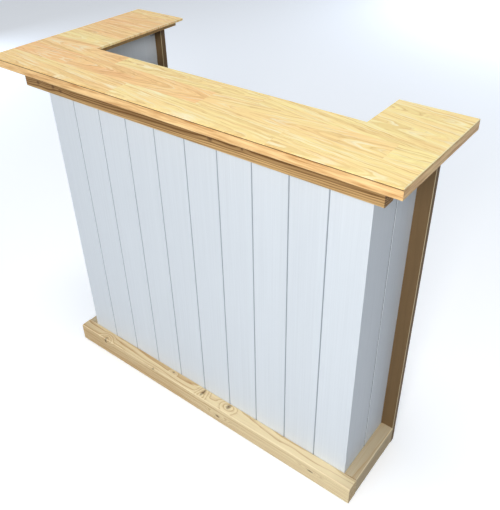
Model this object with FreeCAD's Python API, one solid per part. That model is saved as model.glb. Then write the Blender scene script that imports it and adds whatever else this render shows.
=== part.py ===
import FreeCAD, Part
import math
import os
from FreeCAD import Vector

# A home bar counter: a front and two unequal sides of V-jointed matchboard on a stud frame,
# planed rails round the foot, a batten under the worktop, and a worktop with a notch behind it
# where the person who serves stands.  Two shelves run between the sides.
# Millimetres.  X runs along the front to the right, Y from the customers to the server, Z up.
# The origin is on the floor, in the middle of the worktop's overall length and depth.

# ---- matchboard: tongue-and-groove cladding with a V joint ----
BOARD_COVER = 100.0         # width that one board adds to the wall
BOARD_T = 10.0              # thickness
FRONT_BOARDS = 10
LEFT_BOARDS = 4
RIGHT_BOARDS = 2
V_BEVEL = 2.4               # each board's half of the V, across and in
TONGUE_LONG = 5.0
TONGUE_T = 3.0
TONGUE_BACK = 2.5           # from the back of the board to the tongue
JOINT_PLAY = 0.3            # round the tongue
CORNER_EASE = 1.2           # rounding where two walls meet
BOARD_LIFT = 3.0            # the boards stop short of the floor

# ---- planed framing timber and planed board ----
CLS_DEEP = 38.0
CLS_FACE = 63.0
CLS_EASE = 4.0              # rounded arrises
FRAME_FLATS = 3             # flats that round an arris of the closed-in frame
TRIM_W = 75.0               # boards that close the rear ends of the side walls
TRIM_T = 18.0
BOARD_EASE = 1.5            # rounded arrises of these boards and of the shelves
CLEAT_T = 18.0              # stripwood under the shelves
CLEAT_H = 38.0
TOP_CLEAT = 18.0            # square stripwood under the side worktops
STUDS = 4

# ---- heights and shelves ----
BODY_H = 1005.0             # walls, frame, batten and rear boards all end here
SHELF_T = 18.0
SHELF_D = 155.0
SHELF_TOPS = {"lower": 345.0, "upper": 675.0}
SHELF_PLAY = 1.0            # at each end

# ---- worktop: a thin decorative sheet on an 18 mm board, lipped on the customers' sides ----
SHEET_T = 7.0
BASE_T = 18.0
LIP_T = 4.0
LAP_T = 4.0                 # the part of the sheet that laps over the lipping
SEAM_BEVEL = 1.0            # on the lap and on the lipping, a V groove between them
SHEET_BEVEL = 1.0
FRONT_OVER = 92.0           # beyond the cladding, lipping included
END_OVER = 94.0
REAR_OVER = 23.0            # beyond the rear boards
RUN_DEPTH = 200.0           # front part, from front to back
LEFT_RETURN_W = 190.0
RIGHT_RETURN_W = 180.0
BASE_INSET = 26.0           # the board stands back from the sheet round the notch
BASE_REAR_INSET = 6.0

# ---- fixings ----
SCREW_SIDES = 6             # few, because there are so many screws
SCREW_R = 2.0
SCREW_HEAD_R = 4.0
SCREW_HEAD_H = 2.6
SHELF_SCREW_L = 40.0
CLEAT_SCREW_L = 26.0
TRIM_SCREW_L = 50.0
RAIL_SCREW_L = 72.0
SHELF_SCREWS_AT = (0.35, 0.85)      # shares of an end cleat's length, clear of the next line's
CLEAT_SCREWS_AT = (0.15, 0.60)
RAIL_SCREWS = 4             # along the front
BRACKET_LEG = 30.0
BRACKET_W = 18.0
BRACKET_T = 2.0
BRACKET_BEND = 2.0          # inside radius
BRACKET_GAP = 1.0           # from the rear boards
BRACKETS = 3                # along the front frame
PAN_R = 3.4
PAN_TOP_R = 2.8
PAN_H = 2.0
PAN_SHANK_R = 1.6
PAN_SCREW_L = 10.0          # head not counted

# ---- places that follow from the sizes ----
HALF = FRONT_BOARDS * BOARD_COVER / 2
LEFT_IN = -HALF + BOARD_T
RIGHT_IN = HALF - BOARD_T
LEFT_DEPTH = BOARD_T + LEFT_BOARDS * BOARD_COVER
RIGHT_DEPTH = BOARD_T + RIGHT_BOARDS * BOARD_COVER
TOP_FRONT = -(FRONT_OVER + LEFT_DEPTH + TRIM_T + REAR_OVER) / 2
FACE_Y = TOP_FRONT + FRONT_OVER
INNER_Y = FACE_Y + BOARD_T
FRAME_Y = INNER_Y + CLS_DEEP
LEFT_END_Y = FACE_Y + LEFT_DEPTH
RIGHT_END_Y = FACE_Y + RIGHT_DEPTH
TOP_END_X = HALF + END_OVER
NOTCH_Y = TOP_FRONT + RUN_DEPTH
NOTCH_LEFT = -TOP_END_X + LEFT_RETURN_W
NOTCH_RIGHT = TOP_END_X - RIGHT_RETURN_W
LEFT_TOP_END = LEFT_END_Y + TRIM_T + REAR_OVER
RIGHT_TOP_END = RIGHT_END_Y + TRIM_T + REAR_OVER
SHEET_Z = BODY_H + BASE_T
TOP_Z = SHEET_Z + SHEET_T
SEAM_Z = TOP_Z - min(LAP_T, SHEET_T * 0.7)
BATTEN_Z = BODY_H - CLS_FACE

X = Vector(1, 0, 0)
Y = Vector(0, 1, 0)
Z = Vector(0, 0, 1)

pieces = {}


def block(low, high):
    """A square-edged piece between two corners."""
    size = Vector(*high) - Vector(*low)
    return Part.makeBox(size.x, size.y, size.z, Vector(*low))


def eased_bar(low, high, along, ease):
    """A straight piece between two corners, with its long arrises rounded by ease."""
    solid = block(low, high)
    size = Vector(*high) - Vector(*low)
    across = [size.dot(a) for a in (X, Y, Z) if a != along]
    long_edges = [e for e in solid.Edges if abs(e.tangentAt(e.FirstParameter).dot(along)) > 0.99]
    return solid.makeFillet(min(ease, min(across) * 0.4), long_edges)


def frame_timber(low, high, along):
    """A length of the planed timber inside the counter, its arrises rounded in a few flats."""
    low = Vector(*low)
    size = Vector(*high) - low
    first, second = [a for a in (X, Y, Z) if a != along]
    wide = size.dot(first)
    deep = size.dot(second)
    ease = min(CLS_EASE, min(wide, deep) * 0.4)
    centres = [(wide - ease, deep - ease), (ease, deep - ease), (ease, ease), (wide - ease, ease)]
    corners = []
    for quarter, (a, b) in enumerate(centres):
        for k in range(FRAME_FLATS + 1):
            turn = (quarter + k / FRAME_FLATS) * math.pi / 2
            a_out = a + ease * math.cos(turn)
            b_out = b + ease * math.sin(turn)
            corners.append(low + first * a_out + second * b_out)
    return Part.Face(Part.makePolygon(corners + corners[:1])).extrude(along * size.dot(along))


def prism(points, z, height):
    """A flat outline, given as (x, y) points, raised from z by height."""
    corners = [Vector(x, y, z) for x, y in points]
    return Part.Face(Part.makePolygon(corners + corners[:1])).extrude(Z * height)


# ---------------------------------------------------------------- cladding
def board_profile(first, last):
    """Outline of one matchboard, as (along the wall, in from its face) points.

    The groove is on the near edge and the tongue on the far one.  The first and the last
    board of a wall are planed square on the side where the wall ends.
    """
    tongue_in = BOARD_T - TONGUE_BACK - TONGUE_T
    tongue_out = BOARD_T - TONGUE_BACK
    near = [(0, BOARD_T)]
    if first:
        near += [(0, 0)]
    else:
        near += [(0, tongue_out + JOINT_PLAY)]
        near += [(TONGUE_LONG + JOINT_PLAY, tongue_out + JOINT_PLAY)]
        near += [(TONGUE_LONG + JOINT_PLAY, tongue_in - JOINT_PLAY)]
        near += [(0, tongue_in - JOINT_PLAY)]
        near += [(0, V_BEVEL), (V_BEVEL, 0)]
    if last:
        far = [(BOARD_COVER, 0)]
    else:
        far = [(BOARD_COVER - V_BEVEL, 0), (BOARD_COVER, V_BEVEL)]
        far += [(BOARD_COVER, tongue_in)]
        far += [(BOARD_COVER + TONGUE_LONG, tongue_in)]
        far += [(BOARD_COVER + TONGUE_LONG, tongue_out)]
        far += [(BOARD_COVER, tongue_out)]
    return near + far + [(BOARD_COVER, BOARD_T)]


def wall(name, count, place, rounded):
    """A row of matchboards; place turns (along, in) into x and y."""
    for i in range(count):
        first = i == 0
        last = i == count - 1
        outline = [place(i * BOARD_COVER + s, t) for s, t in board_profile(first, last)]
        board = prism(outline, BOARD_LIFT, BODY_H - BOARD_LIFT)
        ends = []
        if rounded and first:
            ends.append(place(0, 0))
        if rounded and last:
            ends.append(place(count * BOARD_COVER, 0))
        for x, y in ends:
            board = ease_upright(board, x, y, CORNER_EASE)
        pieces["%s_board_%02d" % (name, i + 1)] = board


def ease_upright(solid, x, y, radius):
    """Round the upright arris that stands at x, y."""
    edges = []
    for e in solid.Edges:
        middle = e.CenterOfMass
        if abs(middle.x - x) < 0.01 and abs(middle.y - y) < 0.01:
            edges.append(e)
    return solid.makeFillet(radius, edges)


def build_cladding():
    wall("front", FRONT_BOARDS, lambda s, t: (-HALF + s, FACE_Y + t), True)
    wall("left", LEFT_BOARDS, lambda s, t: (-HALF + t, INNER_Y + s), False)
    wall("right", RIGHT_BOARDS, lambda s, t: (HALF - t, INNER_Y + s), False)


# ---------------------------------------------------------------- timber
def build_outer_rails():
    """The rails round the foot, the batten under the worktop and the boards that close the ends."""
    out = HALF + CLS_DEEP
    front = FACE_Y - CLS_DEEP
    foot = (-out, front, 0), (out, FACE_Y, CLS_FACE)
    pieces["base_rail_front"] = eased_bar(*foot, X, CLS_EASE)
    foot = (-out, FACE_Y, 0), (-HALF, LEFT_END_Y, CLS_FACE)
    pieces["base_rail_left"] = eased_bar(*foot, Y, CLS_EASE)
    foot = (HALF, FACE_Y, 0), (out, RIGHT_END_Y, CLS_FACE)
    pieces["base_rail_right"] = eased_bar(*foot, Y, CLS_EASE)
    head = (-out, front, BATTEN_Z), (out, FACE_Y, BODY_H)
    pieces["top_batten"] = eased_bar(*head, X, CLS_EASE)
    close = (-out, LEFT_END_Y, 0), (-out + TRIM_W, LEFT_END_Y + TRIM_T, BODY_H)
    pieces["rear_board_left"] = eased_bar(*close, Z, BOARD_EASE)
    close = (out - TRIM_W, RIGHT_END_Y, 0), (out, RIGHT_END_Y + TRIM_T, BODY_H)
    pieces["rear_board_right"] = eased_bar(*close, Z, BOARD_EASE)


def stud_x(i):
    """Middle of a stud: the end studs stand in the corners and the rest between them."""
    low = LEFT_IN + CLS_FACE / 2
    high = RIGHT_IN - CLS_FACE / 2
    return low + (high - low) * i / (STUDS - 1)


def build_frame():
    """The frame behind the front, and the timber inside the two sides."""
    low = (LEFT_IN, INNER_Y, 0)
    pieces["frame_bottom_rail"] = frame_timber(low, (RIGHT_IN, FRAME_Y, CLS_FACE), X)
    low = (LEFT_IN, INNER_Y, BATTEN_Z)
    pieces["frame_top_rail"] = frame_timber(low, (RIGHT_IN, FRAME_Y, BODY_H), X)
    for i in range(STUDS):
        low = (stud_x(i) - CLS_FACE / 2, INNER_Y, CLS_FACE)
        high = (stud_x(i) + CLS_FACE / 2, FRAME_Y, BATTEN_Z)
        pieces["stud_%02d" % (i + 1)] = frame_timber(low, high, Z)
    for side, inside, turn, end in sides():
        foot = sorted((inside, inside + turn * CLS_DEEP))
        rail = frame_timber((foot[0], FRAME_Y, 0), (foot[1], end, CLS_FACE), Y)
        pieces["side_bottom_rail_" + side] = rail
        head = sorted((inside, inside + turn * TOP_CLEAT))
        stop = end - BRACKET_W - 2 * BRACKET_GAP
        cleat = block((head[0], FRAME_Y, BODY_H - TOP_CLEAT), (head[1], stop, BODY_H))
        pieces["side_top_cleat_" + side] = cleat


def sides():
    """Each side wall: its name, inner face, the way into the counter, and where it ends."""
    return [("left", LEFT_IN, 1, LEFT_END_Y), ("right", RIGHT_IN, -1, RIGHT_END_Y)]


# ---------------------------------------------------------------- shelves
def build_shelves():
    """Two shelves, each on a cleat at both ends and a long one screwed to the studs."""
    for level, top in SHELF_TOPS.items():
        under = top - SHELF_T
        low = (LEFT_IN + SHELF_PLAY, FRAME_Y, under)
        high = (RIGHT_IN - SHELF_PLAY, FRAME_Y + SHELF_D, top)
        pieces["shelf_" + level] = eased_bar(low, high, X, BOARD_EASE)
        low = (LEFT_IN + CLEAT_T, FRAME_Y, under - CLEAT_H)
        high = (RIGHT_IN - CLEAT_T, FRAME_Y + CLEAT_T, under)
        pieces["shelf_long_cleat_" + level] = block(low, high)
        for side, inside, turn, _ in sides():
            foot = sorted((inside, inside + turn * CLEAT_T))
            low = (foot[0], FRAME_Y, under - CLEAT_H)
            high = (foot[1], FRAME_Y + SHELF_D - CLEAT_T, under)
            pieces["shelf_end_cleat_%s_%s" % (level, side)] = block(low, high)


# ---------------------------------------------------------------- worktop
def worktop_outline(inset):
    """The worktop round its notch, drawn in by inset along the customers' sides."""
    end = TOP_END_X - inset
    outline = [(-end, TOP_FRONT + inset), (end, TOP_FRONT + inset)]
    outline += [(end, RIGHT_TOP_END), (NOTCH_RIGHT, RIGHT_TOP_END)]
    outline += [(NOTCH_RIGHT, NOTCH_Y), (NOTCH_LEFT, NOTCH_Y)]
    return outline + [(NOTCH_LEFT, LEFT_TOP_END), (-end, LEFT_TOP_END)]


def build_worktop():
    """The decorative sheet, cut in one piece round the notch, its rim lapping over the lipping."""
    lap = TOP_Z - SEAM_Z
    sheet = prism(worktop_outline(LIP_T), SHEET_Z, SHEET_T)
    sheet = sheet.fuse(prism(worktop_outline(0), SEAM_Z, lap)).removeSplitter()
    top = [e for e in sheet.Edges if abs(e.CenterOfMass.z - TOP_Z) < 0.01]
    sheet = sheet.makeChamfer(min(SHEET_BEVEL, lap * 0.3), top)
    seam = []
    for e in sheet.Edges:
        middle = e.CenterOfMass
        level = abs(middle.z - SEAM_Z) < 0.01
        outside = abs(middle.y - TOP_FRONT) < 0.01 or abs(abs(middle.x) - TOP_END_X) < 0.01
        if level and outside:
            seam.append(e)
    pieces["worktop_sheet"] = sheet.makeChamfer(seam_bevel(), seam)


def seam_bevel():
    """Half of the V groove, which leaves some lap and some lipping square behind it."""
    return min(SEAM_BEVEL, (TOP_Z - SEAM_Z) * 0.4, LIP_T * 0.4)


def build_base_boards():
    """Three boards under the sheet: one along the front and one on each side wall."""
    end = TOP_END_X - LIP_T
    front = TOP_FRONT + LIP_T
    back = NOTCH_Y - BASE_INSET
    pieces["base_board_front"] = block((-end, front, BODY_H), (end, back, SHEET_Z))
    low = (-end, back, BODY_H)
    high = (NOTCH_LEFT - BASE_INSET, LEFT_TOP_END - BASE_REAR_INSET, SHEET_Z)
    pieces["base_board_left"] = block(low, high)
    low = (NOTCH_RIGHT + BASE_INSET, back, BODY_H)
    high = (end, RIGHT_TOP_END - BASE_REAR_INSET, SHEET_Z)
    pieces["base_board_right"] = block(low, high)


def lipping(start, finish, inward, mitre_start, mitre_finish):
    """A strip of lipping under the rim of the sheet, mitred where it meets the next one."""
    along = (finish - start).normalize()
    inner_start = start + inward * LIP_T + along * (LIP_T if mitre_start else 0)
    inner_finish = finish + inward * LIP_T - along * (LIP_T if mitre_finish else 0)
    corners = [start, finish, inner_finish, inner_start]
    strip = prism([(p.x, p.y) for p in corners], BODY_H, SEAM_Z - BODY_H)
    outer = []
    for e in strip.Edges:
        middle = e.CenterOfMass
        offset = (middle - start).dot(inward)
        if abs(offset) < 0.01 and abs(e.tangentAt(e.FirstParameter).dot(along)) > 0.99:
            outer.append(e)
    return strip.makeChamfer(seam_bevel(), outer)


def build_lipping():
    left_front = Vector(-TOP_END_X, TOP_FRONT, 0)
    right_front = Vector(TOP_END_X, TOP_FRONT, 0)
    left_rear = Vector(-TOP_END_X, LEFT_TOP_END, 0)
    right_rear = Vector(TOP_END_X, RIGHT_TOP_END, 0)
    pieces["lipping_front"] = lipping(left_front, right_front, Y, True, True)
    pieces["lipping_left"] = lipping(left_front, left_rear, X, True, False)
    pieces["lipping_right"] = lipping(right_front, right_rear, -X, True, False)


# ---------------------------------------------------------------- fixings
def ring(centre, way, radius):
    """A closed outline of a few sides round centre, square to way."""
    up = X if abs(way.z) > 0.5 else Z
    side = way.cross(up)
    corners = []
    for k in range(SCREW_SIDES):
        turn = 2 * math.pi * (k + 0.5) / SCREW_SIDES
        corners.append(centre + up * (radius * math.cos(turn)) + side * (radius * math.sin(turn)))
    return Part.makePolygon(corners + corners[:1])


def taper(start, way, length, from_radius, to_radius):
    """A stretch of a screw, from one radius to the other."""
    rings = [ring(start, way, from_radius), ring(start + way * length, way, to_radius)]
    return Part.makeLoft(rings, True, True)


def wood_screw(face, way, length):
    """A countersunk screw driven flush with face."""
    head = taper(face, way, SCREW_HEAD_H, SCREW_HEAD_R, SCREW_R)
    shank = taper(face + way * SCREW_HEAD_H, way, length - SCREW_HEAD_H, SCREW_R, SCREW_R)
    return head.fuse(shank)


def pan_screw(face, way):
    """A short pan-head screw that clamps a bracket; its head bears on face."""
    head = taper(face - way * PAN_H, way, PAN_H, PAN_TOP_R, PAN_R)
    return head.fuse(taper(face, way, PAN_SCREW_L, PAN_SHANK_R, PAN_SHANK_R))


def build_shelf_screws():
    """Down through each shelf into its three cleats."""
    group = []
    reach = SHELF_D - CLEAT_T
    for top in SHELF_TOPS.values():
        for _, inside, turn, _ in sides():
            x = inside + turn * CLEAT_T / 2
            for share in SHELF_SCREWS_AT:
                group.append(wood_screw(Vector(x, FRAME_Y + reach * share, top), -Z, SHELF_SCREW_L))
        for i in range(STUDS - 1):
            x = (stud_x(i) + stud_x(i + 1)) / 2
            group.append(wood_screw(Vector(x, FRAME_Y + CLEAT_T / 2, top), -Z, SHELF_SCREW_L))
    pieces["shelf_screws"] = Part.Compound(group)


def build_cleat_screws():
    """Through the shelf cleats and the top cleats into the walls and the studs."""
    group = []
    for top in SHELF_TOPS.values():
        z = top - SHELF_T - CLEAT_H / 2
        for _, inside, turn, _ in sides():
            for share in CLEAT_SCREWS_AT:
                y = FRAME_Y + CLEAT_T + (SHELF_D - 2 * CLEAT_T) * share
                head = Vector(inside + turn * CLEAT_T, y, z)
                group.append(wood_screw(head, -X * turn, CLEAT_SCREW_L))
        for i in range(STUDS):
            x = min(max(stud_x(i), LEFT_IN + CLEAT_T + CLS_FACE / 3), RIGHT_IN - CLEAT_T - CLS_FACE / 3)
            group.append(wood_screw(Vector(x, FRAME_Y + CLEAT_T, z), -Y, CLEAT_SCREW_L))
    for _, inside, turn, end in sides():
        for share in (0.25, 0.75):
            y = FRAME_Y + (end - FRAME_Y - BRACKET_W) * share
            head = Vector(inside + turn * TOP_CLEAT, y, BODY_H - TOP_CLEAT / 2)
            group.append(wood_screw(head, -X * turn, CLEAT_SCREW_L - CLEAT_T + TOP_CLEAT))
    pieces["cleat_screws"] = Part.Compound(group)


def build_rail_screws():
    """From inside, through frame and cladding, into the foot rails and the batten."""
    group = []
    for i in range(RAIL_SCREWS):
        board = int((i + 0.5) * FRONT_BOARDS / RAIL_SCREWS)
        x = -HALF + (board + 0.5) * BOARD_COVER
        for z in (CLS_FACE / 2, BATTEN_Z + CLS_FACE / 2):
            group.append(wood_screw(Vector(x, FRAME_Y, z), -Y, RAIL_SCREW_L))
    for _, inside, turn, end in sides():
        for share in (0.3, 0.75):
            y = FRAME_Y + (end - FRAME_Y) * share
            head = Vector(inside + turn * CLS_DEEP, y, CLS_FACE / 2)
            group.append(wood_screw(head, -X * turn, RAIL_SCREW_L))
    pieces["rail_screws"] = Part.Compound(group)


def build_rear_board_screws():
    """Through each rear board: two into the rails at the foot, and the rest into the wall's edge."""
    group = []
    for _, inside, turn, end in sides():
        back = end + TRIM_T
        middle = CLS_FACE / 2
        wall_x = inside - turn * BOARD_T / 2
        places = [(inside + turn * CLEAT_T / 2, middle)]
        places += [(inside - turn * (BOARD_T + CLS_DEEP / 2), middle)]
        places += [(wall_x, BODY_H * share) for share in (0.46, 0.9)]
        for x, z in places:
            group.append(wood_screw(Vector(x, back, z), -Y, TRIM_SCREW_L))
    pieces["rear_board_screws"] = Part.Compound(group)


def bracket(corner, into, run):
    """A bent steel angle: one leg down the wall, one leg under the base board.

    corner is where wall and base board meet, into points away from the wall and run
    lies along it.
    """
    outer = [(0, 0), (BRACKET_LEG, 0), (BRACKET_LEG, -BRACKET_T), (BRACKET_T, -BRACKET_T)]
    outer += [(BRACKET_T, -BRACKET_LEG), (0, -BRACKET_LEG)]
    corners = [corner + into * a + Z * b - run * (BRACKET_W / 2) for a, b in outer]
    solid = Part.Face(Part.makePolygon(corners + corners[:1])).extrude(run * BRACKET_W)
    inner = corner + into * BRACKET_T - Z * BRACKET_T
    bends = [e for e in solid.Edges if (e.CenterOfMass - inner).Length < 0.01]
    solid = solid.makeFillet(BRACKET_BEND, bends)
    middle = (BRACKET_LEG + BRACKET_T + BRACKET_BEND) / 2
    wall_hole = corner + into * BRACKET_T - Z * middle
    top_hole = corner + into * middle - Z * BRACKET_T
    return solid, [(wall_hole, -into), (top_hole, Z)]


def build_brackets():
    """Angles that hold the worktop down: on the frame's top rail and at the end of each side."""
    spots = []
    for i in range(BRACKETS):
        board = int((i + 0.5) * FRONT_BOARDS / BRACKETS)
        x = -HALF + board * BOARD_COVER
        spots.append((Vector(x, FRAME_Y, BODY_H), Y, X))
    for _, inside, turn, end in sides():
        y = end - BRACKET_GAP - BRACKET_W / 2
        spots.append((Vector(inside, y, BODY_H), X * turn, Y))
    angles = []
    screws = []
    for corner, into, run in spots:
        angle, holes = bracket(corner, into, run)
        angles.append(angle)
        screws += [pan_screw(face, way) for face, way in holes]
    pieces["angle_brackets"] = Part.Compound(angles)
    pieces["bracket_screws"] = Part.Compound(screws)


def drill():
    """Cut the hole of every screw out of the pieces that it passes through."""
    groups = [name for name in pieces if name.endswith("_screws")]
    screws = [s for name in groups for s in pieces[name].Solids]
    for name, solid in pieces.items():
        hits = [s for s in screws if s.BoundBox.intersect(solid.BoundBox)]
        if hits and name not in groups:
            pieces[name] = solid.cut(hits)


def main():
    build_cladding()
    build_outer_rails()
    build_frame()
    build_shelves()
    build_worktop()
    build_base_boards()
    build_lipping()
    build_shelf_screws()
    build_cleat_screws()
    build_rail_screws()
    build_rear_board_screws()
    build_brackets()
    drill()
    os.makedirs("parts", exist_ok=True)
    for name, shape in pieces.items():
        shape.exportStep(os.path.join("parts", name + ".step"))
    print(len(pieces), "nodes,", sum(len(s.Solids) for s in pieces.values()), "solids")


main()
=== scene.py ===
"""Finishes, screw heads, lights and camera for a clad bar counter with shelves.

The counter itself is loaded as solids in metres, with +X along its front to the right, +Y from
the customers to the server, +Z up, and the origin on the floor in the middle of its box.
"""
import math

import bmesh
import bpy
from bpy.props import FloatProperty, FloatVectorProperty, PointerProperty
from mathutils import Matrix, Vector


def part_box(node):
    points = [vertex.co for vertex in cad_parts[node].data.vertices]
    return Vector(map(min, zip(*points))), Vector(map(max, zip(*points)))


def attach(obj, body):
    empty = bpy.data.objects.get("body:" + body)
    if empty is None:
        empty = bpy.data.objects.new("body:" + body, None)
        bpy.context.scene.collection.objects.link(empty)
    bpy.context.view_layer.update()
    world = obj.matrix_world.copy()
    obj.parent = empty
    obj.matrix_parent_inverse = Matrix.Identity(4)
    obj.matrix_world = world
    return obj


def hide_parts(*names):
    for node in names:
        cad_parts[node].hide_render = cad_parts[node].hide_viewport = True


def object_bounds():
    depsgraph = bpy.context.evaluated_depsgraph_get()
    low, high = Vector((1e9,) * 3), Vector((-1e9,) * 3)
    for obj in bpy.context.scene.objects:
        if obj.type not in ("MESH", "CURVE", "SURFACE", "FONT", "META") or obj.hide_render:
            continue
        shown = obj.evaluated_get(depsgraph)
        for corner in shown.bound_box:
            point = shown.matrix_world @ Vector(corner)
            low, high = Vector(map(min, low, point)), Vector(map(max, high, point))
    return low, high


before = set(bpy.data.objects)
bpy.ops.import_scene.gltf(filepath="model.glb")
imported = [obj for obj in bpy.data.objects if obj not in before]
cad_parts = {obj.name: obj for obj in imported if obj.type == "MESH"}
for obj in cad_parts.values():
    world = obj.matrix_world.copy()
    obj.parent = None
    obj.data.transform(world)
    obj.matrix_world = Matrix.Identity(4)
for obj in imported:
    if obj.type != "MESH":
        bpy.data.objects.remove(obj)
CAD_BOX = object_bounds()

bl_info = {
    "name": "Bar counter finishes",
    "version": (1, 0, 0),
    "blender": (4, 5, 0),
    "location": "View3D > Sidebar > Bar counter",
    "description": "Dresses a clad bar counter: worktop, cladding, timbers, fixings and stage",
    "category": "Object",
}

MM = 0.001
LOW = CAD_BOX[0]
X, Y, Z = range(3)

# the oak print
STAVE_STARTS = (0.0, 0.468, 0.72, 0.90, 0.68, 0.86, 0.75, 0.95)     # of each row, in staves
TONE_SEED = 1415.0          # draws how warm each stave is
FIGURE_SEED = 251.0         # draws where the arches of each stave lie, and how steep they are
HEART_DEPTH = 16 * MM       # how far under the face the heart of a log runs at most
STEEPEST_TAPER = 0.18       # how fast a log narrows along its stave at most
RIPPLE = 10 * MM            # how far its growth lines waver

# the timbers
WAVER = 3.5 * MM            # how far the growth lines of planed pine waver

# the screws: head profiles go from the rim down to the shank as (radius, depth)
SCREW_SEGMENTS = 24
HEAD_PROUD = 0.08 * MM      # heads driven by hand stand a hair proud
PAN_HEAD = ((2.0 * MM, 0.0), (2.8 * MM, 0.25 * MM), (3.4 * MM, 1.1 * MM), (3.4 * MM, 2.0 * MM),
            (1.6 * MM, 2.0 * MM))
THREAD_CORE = 0.72          # radius between the threads, as a share of the shank's
BARE_TIP = 4 * MM           # no thread starts nearer to the tip than this
RECESS_REACH = 0.62         # half the length of the cross, as a share of the head's radius
RECESS_SLOT = 0.24          # half the width of its arms, as a share of that length

# lamps: place, what they face, side of the square, power in watts, and whether they are blue
LAMPS = {
    "overhead": ((0.2, -0.5, 4.8), (0.1, 0, 1), 1.4, 64, False),
    "key": ((1.5, -2.9, 2.4), (0.1, -0.2, 0.6), 1.0, 83, False),
    # this one stands low and far back, so that it throws no glare on the worktop
    "rear": ((-0.5, 5.6, 0.7), (0, 0.1, 0.5), 1.2, 95, True),
    "left": ((-4.2, 0.6, 0.6), (0, 0.1, 0.5), 1.2, 42, True),
    "fill": ((0.2, -3.4, 1.1), (0, -0.2, 0.5), 1.4, 18, False),
}
FLOOR_DROP = 0.5 * MM       # keeps the floor's face apart from the undersides of the rails


# ------------------------------------------------------------------ colours and sizes
def linear(hex_colour):
    """An sRGB hex colour as linear RGBA."""
    channels = [int(hex_colour[i:i + 2], 16) / 255 for i in (0, 2, 4)]
    bent = [c / 12.92 if c <= 0.04045 else ((c + 0.055) / 1.055) ** 2.4 for c in channels]
    return (*bent, 1.0)


def colour_prop(name, description, hex_colour):
    """A colour that a user may change."""
    return FloatVectorProperty(
        name=name, description=description, default=linear(hex_colour),
        subtype="COLOR", size=4, min=0.0, max=1.0)


def length_prop(name, description, millimetres):
    """A length that a user may change."""
    return FloatProperty(
        name=name, description=description, default=millimetres * MM, min=0.0, unit="LENGTH")


class CounterSizes(bpy.types.PropertyGroup):
    """Real sizes that the finishes are drawn to.

    Pores, fibres and brush marks are finer than a millimetre on the real counter.  They are drawn
    about 2 mm wide here, as coarse as they have to be to show when the whole counter is seen.
    """

    stave_width: length_prop("Stave width", "Width of one printed oak stave", 72)
    stave_length: length_prop("Stave length", "Length of one printed oak stave", 449)
    oak_ring: length_prop("Oak ring", "Width of a growth band in the oak print", 4.5)
    oak_pore: length_prop("Oak pore", "Width of a streak of pores in the oak print", 2.2)
    edging_line: length_prop("Edging line", "Width of a fine line in the lipping's print", 3.4)
    edging_band: length_prop("Edging band", "Width of a broad band in the lipping's print", 10)
    pine_ring: length_prop("Pine ring", "Spacing of the growth rings in the timbers", 6)
    pine_fibre: length_prop("Pine fibre", "Width of a streak of fibres in planed pine", 2.0)
    knot_edge: length_prop("Knot edge", "Size of the bays in a knot's outline", 9.09)
    sawn_grain: length_prop("Sawn grain", "Size of the specks on a sawn end", 4.17)
    board_cover: length_prop("Board cover", "Width that one matchboard covers", 100)
    brush_mark: length_prop("Brush mark", "Width of a brush mark in the paint", 2.2)
    # within this depth the V joints get their painted shade
    joint_depth: length_prop("Joint depth", "Depth that a V joint's paint reaches at most", 4)
    chip: length_prop("Chip", "Size of a flake in the chipboard", 3.5)
    chip_dust: length_prop("Chip dust", "Size of the dust between the flakes", 1.11)
    zinc_cloud: length_prop("Zinc cloud", "Size of the clouds in the plating", 4.55)
    screw_radius: length_prop("Screw radius", "Radius of a wood screw's shank", 2.0)
    screw_head_radius: length_prop("Head radius", "Radius of a wood screw's head", 4.0)
    screw_head_depth: length_prop("Head depth", "Depth of a wood screw's head", 2.6)
    thread_pitch: length_prop("Thread pitch", "Distance from one thread to the next", 2.2)
    floor_size: length_prop("Floor", "Side of the floor", 30000)


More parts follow.
